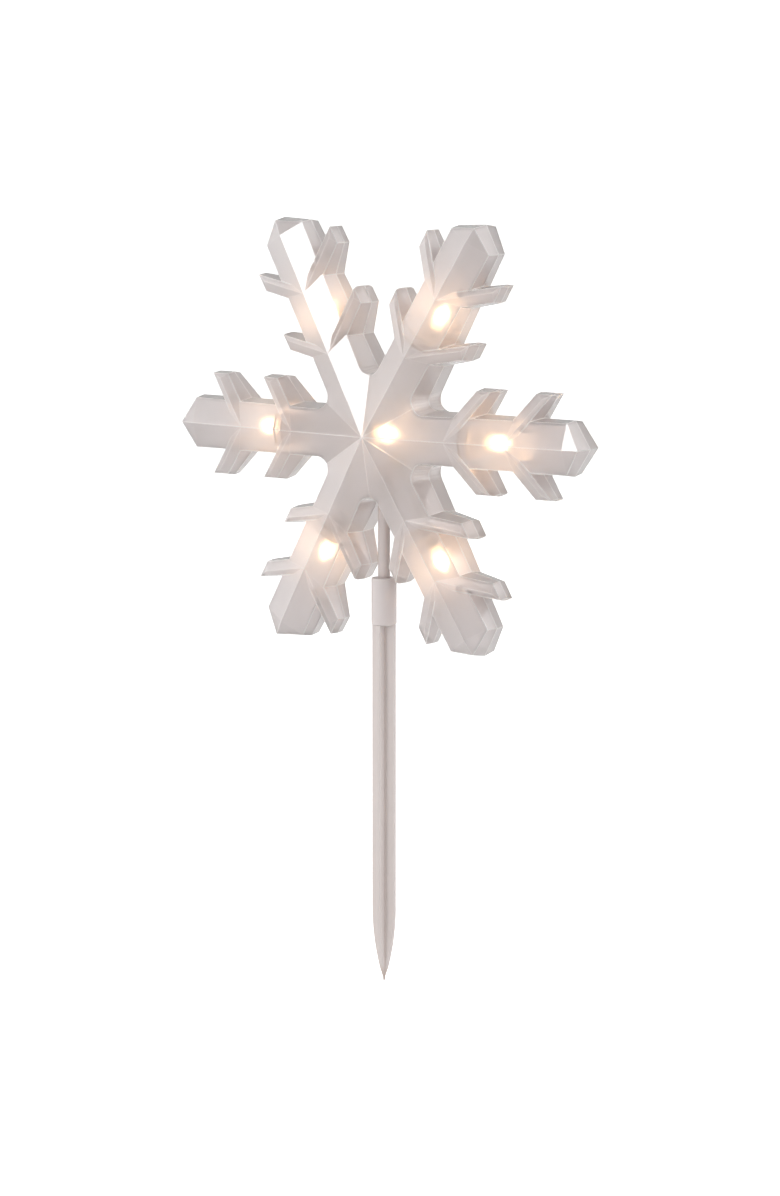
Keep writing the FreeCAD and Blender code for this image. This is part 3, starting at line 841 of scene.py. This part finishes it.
@dataclass
class MiniLamp:
    """One push-in mini lamp: glass, coil on its supports, and the husk that grips it."""

    name: str
    seat: Seat
    holder_length: float = 0.010
    glass_radius: float = 0.0026
    glass_length: float = 0.011
    glass_wall: float = 0.0004
    neck_radius: float = 0.0019
    coil_place: float = 0.006
    coil_radius: float = 0.00021
    coil_wire: float = 0.00008
    coil_turns: int = 9
    support_spread: float = 0.0007
    support_radius: float = 0.00015
    bead_radius: float = 0.0012
    holder_radius: float = 0.003
    rim_radius: float = 0.00335
    rim_length: float = 0.0014
    grip_ribs: int = 14
    grip_depth: float = 0.00014

    @property
    def heart(self) -> Place:
        """The coil's middle, as a point of the whole object."""
        place = self.seat.placed(np.array([[self.coil_place, 0.0, 0.0]]))[0]
        return (float(place[0]), float(place[1]), float(place[2]))

    def glass_outline(self, inset: float) -> np.ndarray:
        """The envelope's profile from root to drawn-out tip.

        Args:
            inset: how far the profile is moved inwards.

        Returns:
            (along, radius) of each point.
        """
        length, radius = self.glass_length, self.glass_radius
        corners = [
            (inset, 0.0, 0.0),
            (inset, self.neck_radius - inset, 0.0002),
            (0.0011 + inset, radius - inset, 0.0008),
            (length * 0.62, radius - inset, 0.003),
            (length * 0.86, radius * 0.52 - inset, 0.002),
            (length * 0.93, 0.0007 - inset * 0.5, 0.0004),
            (length - inset, 0.00045, 0.0002),
            (length - inset, 0.0, 0.0),
        ]
        return softened(corners, 6, closed=False)

    def build_glass(self) -> bpy.types.Mesh:
        """The blown envelope: an outer skin and an inner skin that faces the hollow."""
        sheet = Sheet.empty()
        sheet.add_grid(turned(self.glass_outline(0.0), self.seat, 28), False, True, flip=True)
        sheet.add_grid(turned(self.glass_outline(self.glass_wall), self.seat, 28), False, True)
        return sheet.mesh(self.name + "_glass", 60.0)

    def build_coil(self) -> bpy.types.Mesh:
        """The wound coil across two support wires, and the glass bead that ties them.

        The coil runs along Y: point = (place + r cos t, y(t), r sin t), with t over all its turns.

        Returns:
            The mesh.
        """
        sheet = Sheet.empty()
        half = self.support_spread + self.support_radius
        turn = np.linspace(0.0, math.tau * self.coil_turns, self.coil_turns * 12)
        y = np.linspace(-half, half, len(turn))
        along = self.coil_place + self.coil_radius * np.cos(turn)
        path = np.stack([along, y, self.coil_radius * np.sin(turn)], axis=1)
        sheet.add_grid(tube(path, self.coil_wire, self.seat, 6), False, True, finish=0, flip=True)
        start = self.glass_wall + 0.00018
        for side in (-1.0, 1.0):
            along = np.linspace(start, self.coil_place, 6)
            lean = self.support_spread * (0.86 + 0.14 * (along - start) / (self.coil_place - start))
            post = np.stack([along, side * lean, np.zeros_like(along)], axis=1)
            sheet.add_grid(tube(post, self.support_radius, self.seat, 8), False, True, finish=1, flip=True)
        middle = start + self.bead_radius
        sweep = np.linspace(0.0, math.pi, 13)
        bead = np.stack([middle - 0.00045 * np.cos(sweep), self.bead_radius * np.sin(sweep)], axis=1)
        sheet.add_grid(turned(bead, self.seat, 20), False, True, finish=2, flip=True)
        return sheet.mesh(self.name + "_coil", 50.0)

    def build_holder(self) -> bpy.types.Mesh:
        """The husk: a rimmed barrel with grip ribs, r = r0 + depth (cos(ribs a) - 1) / 2.

        Returns:
            The mesh.
        """
        length = self.holder_length
        corners = [
            (-length, 0.0, 0.0),
            (-length, self.holder_radius - 0.0004, 0.0003),
            (-length + 0.0007, self.holder_radius, 0.0004),
            (-self.rim_length - 0.0002, self.holder_radius, 0.0001),
            (-self.rim_length, self.rim_radius, 0.00015),
            (0.0, self.rim_radius, 0.0003),
            (0.0, self.neck_radius - 0.0005, 0.0002),
            (-length * 0.6, self.neck_radius - 0.0005, 0.0),
            (-length * 0.6, 0.0, 0.0),
        ]

        def ribs(along: np.ndarray, angle: np.ndarray) -> np.ndarray:
            """Grip ribs on the barrel between its tail and its rim, and none elsewhere."""
            share = np.clip((along + length - 0.0009) / 0.0006, 0.0, 1.0)
            share = share * np.clip((-self.rim_length - 0.0003 - along) / 0.0006, 0.0, 1.0)
            return share * self.grip_depth * (np.cos(self.grip_ribs * angle) - 1.0) / 2.0

        outline = softened(corners, 4, closed=False)
        barrel = np.linspace(-length + 0.0012, -self.rim_length - 0.0006, 8)
        outer = np.stack([barrel, np.full_like(barrel, self.holder_radius)], axis=1)
        cut = int(np.searchsorted(outline[:9, 0], -length + 0.0012))
        outline = np.concatenate([outline[:cut], outer, outline[cut:]])
        sheet = Sheet.empty()
        sheet.add_grid(turned(outline, self.seat, 56, ribs), False, True, flip=True)
        return sheet.mesh(self.name + "_husk", 40.0)


@dataclass
class LampSet:
    """Six arm lamps and the one at the hub."""

    arm_reach: float = 0.0515
    centre_mouth: float = -0.0055
    centre_depth: float = 0.0027
    centre_holder: float = 0.008

    def lamps(self) -> list[MiniLamp]:
        """All seven lamps; a lamp's name is the start of its nodes' names."""
        made = [MiniLamp("lamp_%d" % (i + 1), arm_seat(i, self.arm_reach)) for i in range(ARM_COUNT)]
        hub = arm_seat(0, self.centre_mouth, self.centre_depth)
        made.append(MiniLamp("centre_lamp", hub, holder_length=self.centre_holder))
        return made

    @staticmethod
    def node(lamp: MiniLamp, part: str) -> str:
        """The frame's name for a part of a lamp."""
        if lamp.name == "centre_lamp":
            return "centre_lamp_" + part
        return "lamp_%s_%s" % (part, lamp.name.split("_")[1])

    def build(self, shop: Shop) -> list[Place]:
        """Builds and dresses every lamp.

        Args:
            shop: where the pieces go.

        Returns:
            The coils' middles.
        """
        lamps = self.lamps()
        hearts = [lamp.heart for lamp in lamps]
        glass = LitGlass(tuple(hearts)).made()
        coil = HotCoil().made()
        wire = SupportWire().made()
        bead = Vinyl("bead_finish", (0.62, 0.78, 0.74), (0.72, 0.85, 0.80), 0.12).made()
        husk = SatinPlastic(
            "holder_plastic_finish", (0.80, 0.78, 0.75), (0.74, 0.72, 0.69), (0.9, 0.88, 0.86),
        ).made()
        for lamp in lamps:
            pieces = (
                ("_glass", lamp.build_glass(), [glass], Slot.GLASS, "bulb"),
                ("_coil", lamp.build_coil(), [coil, wire, bead], Slot.FILAMENT, "filament"),
                ("_husk", lamp.build_holder(), [husk], Slot.HOLDER, "holder"),
            )
            for ending, mesh, finishes, slot, part in pieces:
                shop.put(lamp.name + ending, mesh, finishes, Body.HEAD, self.node(lamp, part))
        return hearts


@dataclass
class Wiring:
    """The wires that join the lamps in one chain, and the bush that the lead passes through."""

    wires: tuple[str, ...] = (
        "link_wire_1", "link_wire_2", "link_wire_3", "link_wire_4",
        "centre_wire_left", "centre_wire_lower", "lead_wire_left", "lead_wire_right",
    )
    drop: float = 0.011
    inner_face: float = 0.0096
    pad_face: float = 0.0146
    flange_height: float = 0.0012
    flange_radius: float = 0.0042
    waist_radius: float = 0.00274
    lip_radius: float = 0.00334
    bore: float = 0.0016

    def build_bush(self) -> bpy.types.Mesh:
        """The bush: a rounded flange outside, a waist in the shell's hole and a lip inside.

        Returns:
            The mesh.
        """
        top = self.pad_face + self.flange_height
        corners = [
            (self.inner_face, self.bore, 0.0002),
            (self.inner_face, self.lip_radius, 0.0004),
            (self.inner_face + self.flange_height - 0.0001, self.lip_radius, 0.0002),
            (self.inner_face + self.flange_height - 0.0001, self.waist_radius, 0.0),
            (self.pad_face, self.waist_radius, 0.0),
            (self.pad_face, self.flange_radius, 0.0002),
            (top, self.waist_radius + 0.0005, 0.0005),
            (top, self.bore, 0.0003),
        ]
        axes = np.array([[0.0, 0.0, 1.0], [1.0, 0.0, 0.0], [0.0, 1.0, 0.0]])
        seat = Seat(np.array([0.0, 0.0, HEAD_CENTRE[2] - self.drop]), axes)
        sheet = Sheet.empty()
        sheet.add_grid(turned(softened(corners, 5), seat, 40), True, True, flip=True)
        return sheet.mesh("lead_bush", 40.0)

    def build(self, shop: Shop) -> None:
        """Dresses the wires and builds the bush.

        Args:
            shop: where the pieces go.
        """
        vinyl = Vinyl("wire_vinyl_finish", (0.80, 0.79, 0.75), (0.88, 0.87, 0.83), 0.35).made()
        for wire in self.wires:
            shop.dress(wire, vinyl, Slot.WIRE)
        bush = Vinyl("bush_finish", (0.74, 0.73, 0.70), (0.82, 0.81, 0.78), 0.5).made()
        shop.put("lead_bush", self.build_bush(), [bush], Body.HEAD, "lead_grommet")


# ------------------------------------------------------------------ stem, collar and spike
@dataclass
class Stem:
    """The tube that carries the snowflake, with the flange that the shells hold."""

    radius: float = 0.0025
    bore: float = 0.0017
    bottom: float = 0.0109
    top: float = 0.0635
    flange_radius: float = 0.0036
    flange_height: float = 0.0016

    def build(self, shop: Shop) -> None:
        """Turns the tube's profile and dresses it.

        Args:
            shop: where the pieces go.
        """
        under = self.top - self.flange_height
        corners = [
            (self.bottom, self.bore, 0.0001),
            (self.bottom, self.radius, 0.0003),
            (under, self.radius, 0.0003),
            (under, self.flange_radius, 0.0002),
            (self.top, self.flange_radius, 0.0002),
            (self.top, self.bore, 0.0001),
        ]
        sheet = Sheet.empty()
        sheet.add_grid(turned(softened(corners, 4), upright_seat(), 48), True, True, flip=True)
        finish = SatinPlastic(
            "stem_plastic_finish", (0.70, 0.625, 0.60), (0.66, 0.58, 0.56), (0.82, 0.76, 0.74),
        ).made()
        shop.put("stem", sheet.mesh("stem"), [finish], Body.HEAD, "stem_tube")


@dataclass
class Collar:
    """The coupling between stem and spike."""

    radius: float = 0.0052
    height: float = 0.0193
    edge: float = 0.00055
    stem_bore: float = 0.00256
    stem_depth: float = 0.0085
    plug_bore: float = 0.00366
    plug_depth: float = 0.0088

    def build(self, shop: Shop) -> None:
        """Turns the collar's profile, with its two sockets and the web between them.

        Args:
            shop: where the pieces go.
        """
        web_top = self.height - self.stem_depth
        corners = [
            (0.0, self.plug_bore, 0.0003),
            (0.0, self.radius, self.edge),
            (self.height, self.radius, self.edge),
            (self.height, self.stem_bore, 0.00025),
            (web_top, self.stem_bore, 0.0001),
            (web_top, 0.0, 0.0),
            (self.plug_depth, 0.0, 0.0),
            (self.plug_depth, self.plug_bore, 0.0002),
        ]
        sheet = Sheet.empty()
        sheet.add_grid(turned(softened(corners, 6), upright_seat(), 64), True, True, flip=True)
        finish = SatinPlastic(
            "collar_plastic_finish", (0.74, 0.67, 0.66), (0.71, 0.64, 0.625), (0.90, 0.86, 0.85), 0.3,
        ).made()
        shop.put("collar_body", sheet.mesh("collar_body"), [finish], Body.COLLAR, "collar")


@dataclass
class Spike:
    """The ground spike: four crossed fins drawn in to a point, with a plug on top."""

    length: float = 0.1489
    half_span: float = 0.00515
    half_fin: float = 0.000975
    turn: float = math.radians(7.0)
    point_length: float = 0.030
    root_fillet: float = 0.0005
    fin_edge: float = 0.0003
    plug_radius: float = 0.0036
    plug_length: float = 0.0086
    plug_edge: float = 0.0006
    tip: float = 0.0004
    arc_steps: int = 5
    bow: float = 0.94
    tip_fin_share: float = 0.62
    # Painted shade: how far from the axis the valleys between the fins are darkened.
    crevice_shade_radius: float = 0.0021

    def span(self, down: np.ndarray) -> np.ndarray:
        """Half the width across two fins at a depth below the soil line.

        It is constant to the shoulder and then falls to the tip as (1 - s) (1 + bow s), with s the
        share of the point's length, which bows the fins' edges outwards.

        Args:
            down: the depths.

        Returns:
            Half the width at each depth.
        """
        share = np.clip((down - (self.length - self.point_length)) / self.point_length, 0.0, 1.0)
        return self.half_span * (1.0 - share) * (1.0 + self.bow * share)

    def section(self, half: np.ndarray, fin: np.ndarray) -> np.ndarray:
        """A cross outline for every row.

        One quarter has a fillet at the fins' root and two rounded fin corners, and the other
        quarters are the same turned by right angles.

        Args:
            half: half the span of each row.
            fin: half the fin's thickness of each row.

        Returns:
            Points by row and place round the outline.
        """
        sweep = np.linspace(0.0, math.pi / 2.0, self.arc_steps)[None, :]
        root = np.minimum(self.root_fillet, (half - fin) * 0.6)[:, None]
        corner = np.minimum(self.fin_edge, fin * 0.6)[:, None]
        half = half[:, None]
        fin = fin[:, None]
        fillet = (fin + root - root * np.cos(sweep), -fin - root + root * np.sin(sweep))
        lower = (half - corner + corner * np.sin(sweep), -fin + corner - corner * np.cos(sweep))
        upper = (half - corner + corner * np.cos(sweep), fin - corner + corner * np.sin(sweep))
        x = np.concatenate([fillet[0], lower[0], upper[0]], axis=1)
        y = np.concatenate([fillet[1], lower[1], upper[1]], axis=1)
        quarters = [(x, y), (-y, x), (-x, -y), (y, -x)]
        return np.concatenate([np.stack(q, axis=-1) for q in quarters], axis=1)

    def build(self, shop: Shop) -> None:
        """Carries the cross outline down the spike and adds the plug.

        Args:
            shop: where the pieces go.
        """
        straight = np.linspace(0.0, self.length - self.point_length, 12)
        point = self.length - self.point_length * (1.0 - np.linspace(0.0, 1.0, 25)[1:]) ** 1.15
        down = np.concatenate([straight, point])
        half = np.maximum(self.span(down), self.tip)
        fin = np.minimum(self.half_fin, half * self.tip_fin_share)
        outline = self.section(half, fin)
        columns = outline.shape[1]
        level = np.repeat(-down[:, None], columns, axis=1)
        cosine, sine = math.cos(self.turn), math.sin(self.turn)
        x = outline[..., 0] * cosine - outline[..., 1] * sine
        y = outline[..., 0] * sine + outline[..., 1] * cosine
        rows = np.stack([x, y, level], axis=-1)
        caps = [np.repeat(np.array([[[0.0, 0.0, z]]]), columns, axis=1) for z in (0.0, -self.length)]
        sheet = Sheet.empty()
        sheet.add_grid(np.concatenate([caps[0], rows, caps[1]], axis=0), False, True)
        corners = [
            (-0.0004, 0.0, 0.0),
            (-0.0004, self.plug_radius, 0.0),
            (self.plug_length, self.plug_radius, self.plug_edge),
            (self.plug_length, 0.0, 0.0),
        ]
        sheet.add_grid(turned(softened(corners, 5, closed=False), upright_seat(), 40), False, True, flip=True)
        finish = SatinPlastic(
            "spike_plastic_finish", (0.76, 0.69, 0.67), (0.72, 0.645, 0.62), (0.90, 0.86, 0.84), 0.34,
            crevice_shade_radius=self.crevice_shade_radius,
        ).made()
        shop.put("spike_body", sheet.mesh("spike_body"), [finish], Body.SPIKE, "ground_spike")


# ------------------------------------------------------------------ studio
@dataclass
class Studio:
    """A round sweep of pale paper, four soft boxes and the camera."""

    floor: float = -0.1491
    flat_radius: float = 3.2
    bend: float = 1.2
    wall: float = 3.0
    world: float = 0.56
    lens: float = 124.8
    sensor: float = 36.0
    azimuth: float = 35.69
    pitch: float = 8.27
    head_right: float = -0.002437
    head_up: float = 0.06652
    head_forward: float = 1.6841

    def build_sweep(self) -> None:
        """Paper that lies flat, bends through a quarter circle and stands up all round."""
        bend = np.linspace(0.0, math.pi / 2.0, 16)
        flat = np.array([[0.0, 0.0], [0.5, 0.0], [1.5, 0.0], [self.flat_radius, 0.0]])
        across = self.flat_radius + self.bend * np.sin(bend[1:])
        curve = np.stack([across, self.bend * (1.0 - np.cos(bend[1:]))], axis=1)
        rise = np.array([[self.flat_radius + self.bend, self.bend + self.wall]])
        line = np.concatenate([flat, curve, rise])
        outline = np.stack([line[:, 1] + self.floor, line[:, 0]], axis=1)
        sheet = Sheet.empty()
        sheet.add_grid(turned(outline, upright_seat(), 96), False, True)
        mesh = sheet.mesh("studio_sweep", 60.0)
        sweep = bpy.data.objects.new("studio_sweep", mesh)
        bpy.context.scene.collection.objects.link(sweep)
        mesh.materials.append(StudioPaper().made())

    def soft_box(
        self,
        name: str,
        azimuth: float,
        elevation: float,
        away: float,
        size: tuple[float, float],
        radiance: float,
    ) -> None:
        """Hangs a soft box that faces the head.

        Args:
            name: the light's name.
            azimuth: its bearing from the head in degrees, nought to the front.
            elevation: its height above the horizon in degrees.
            away: its distance from the head.
            size: its width and height.
            radiance: its brightness, with one for white paper.
        """
        data = bpy.data.lights.new(name, "AREA")
        data.shape = "RECTANGLE"
        data.size, data.size_y = size
        data.energy = radiance * math.pi * size[0] * size[1]
        lamp = bpy.data.objects.new(name, data)
        bpy.context.scene.collection.objects.link(lamp)
        a, e = math.radians(azimuth), math.radians(elevation)
        way = np.array([math.sin(a) * math.cos(e), -math.cos(a) * math.cos(e), math.sin(e)])
        place = np.array(HEAD_CENTRE) + way * away
        lamp.location = tuple(place)
        lamp.rotation_euler = (math.pi / 2.0 - e, 0.0, a)
        lamp.visible_camera = False

    def build_light(self) -> None:
        """Even white surroundings, with a key, a side, a rim and an overhead box."""
        world = bpy.data.worlds.new("studio_world")
        world.use_nodes = True
        ground = world.node_tree.nodes["Background"]
        ground.inputs["Color"].default_value = (1.0, 0.995, 0.99, 1.0)
        ground.inputs["Strength"].default_value = self.world
        bpy.context.scene.world = world
        self.soft_box("key_box", -13.0, 20.2, 1.5, (0.29, 0.36), 11.0)
        self.soft_box("side_box", -74.0, 14.0, 1.5, (1.3, 1.7), 1.3)
        self.soft_box("rim_box", 120.0, 20.0, 1.5, (1.3, 1.3), 1.4)
        self.soft_box("overhead_box", 20.0, 80.0, 1.8, (1.6, 1.6), 1.0)

    def build_camera(self) -> None:
        """The camera, placed so that the head's centre has its known place in the camera's frame."""
        a, p = math.radians(self.azimuth), math.radians(self.pitch)
        right = np.array([math.cos(a), math.sin(a), 0.0])
        forward = np.array([-math.sin(a) * math.cos(p), math.cos(a) * math.cos(p), -math.sin(p)])
        up = np.cross(right, forward)
        offset = right * self.head_right + up * self.head_up + forward * self.head_forward
        place = np.array(HEAD_CENTRE) - offset
        data = bpy.data.cameras.new("studio_camera")
        data.lens = self.lens
        data.sensor_width = self.sensor
        data.sensor_fit = "AUTO"
        data.clip_start, data.clip_end = 0.05, 50.0
        camera = bpy.data.objects.new("studio_camera", data)
        bpy.context.scene.collection.objects.link(camera)
        camera.location = tuple(place)
        camera.rotation_euler = (math.pi / 2.0 - p, 0.0, a)
        bpy.context.scene.camera = camera

    def build(self) -> None:
        """Builds the whole studio."""
        self.build_sweep()
        self.build_light()
        self.build_camera()
        bpy.context.scene.view_settings.view_transform = "Standard"


def main() -> None:
    """Builds and dresses every piece, then the studio."""
    logging.basicConfig(level=logging.INFO, format="%(name)s: %(message)s")
    shop = Shop()
    hearts = LampSet().build(shop)
    Snowflake().dress(shop, hearts)
    Wiring().build(shop)
    Stem().build(shop)
    Collar().build(shop)
    Spike().build(shop)
    Studio().build()
    LOG.info("%d pieces", len(shop.made))


if __name__ == "__main__":
    main()
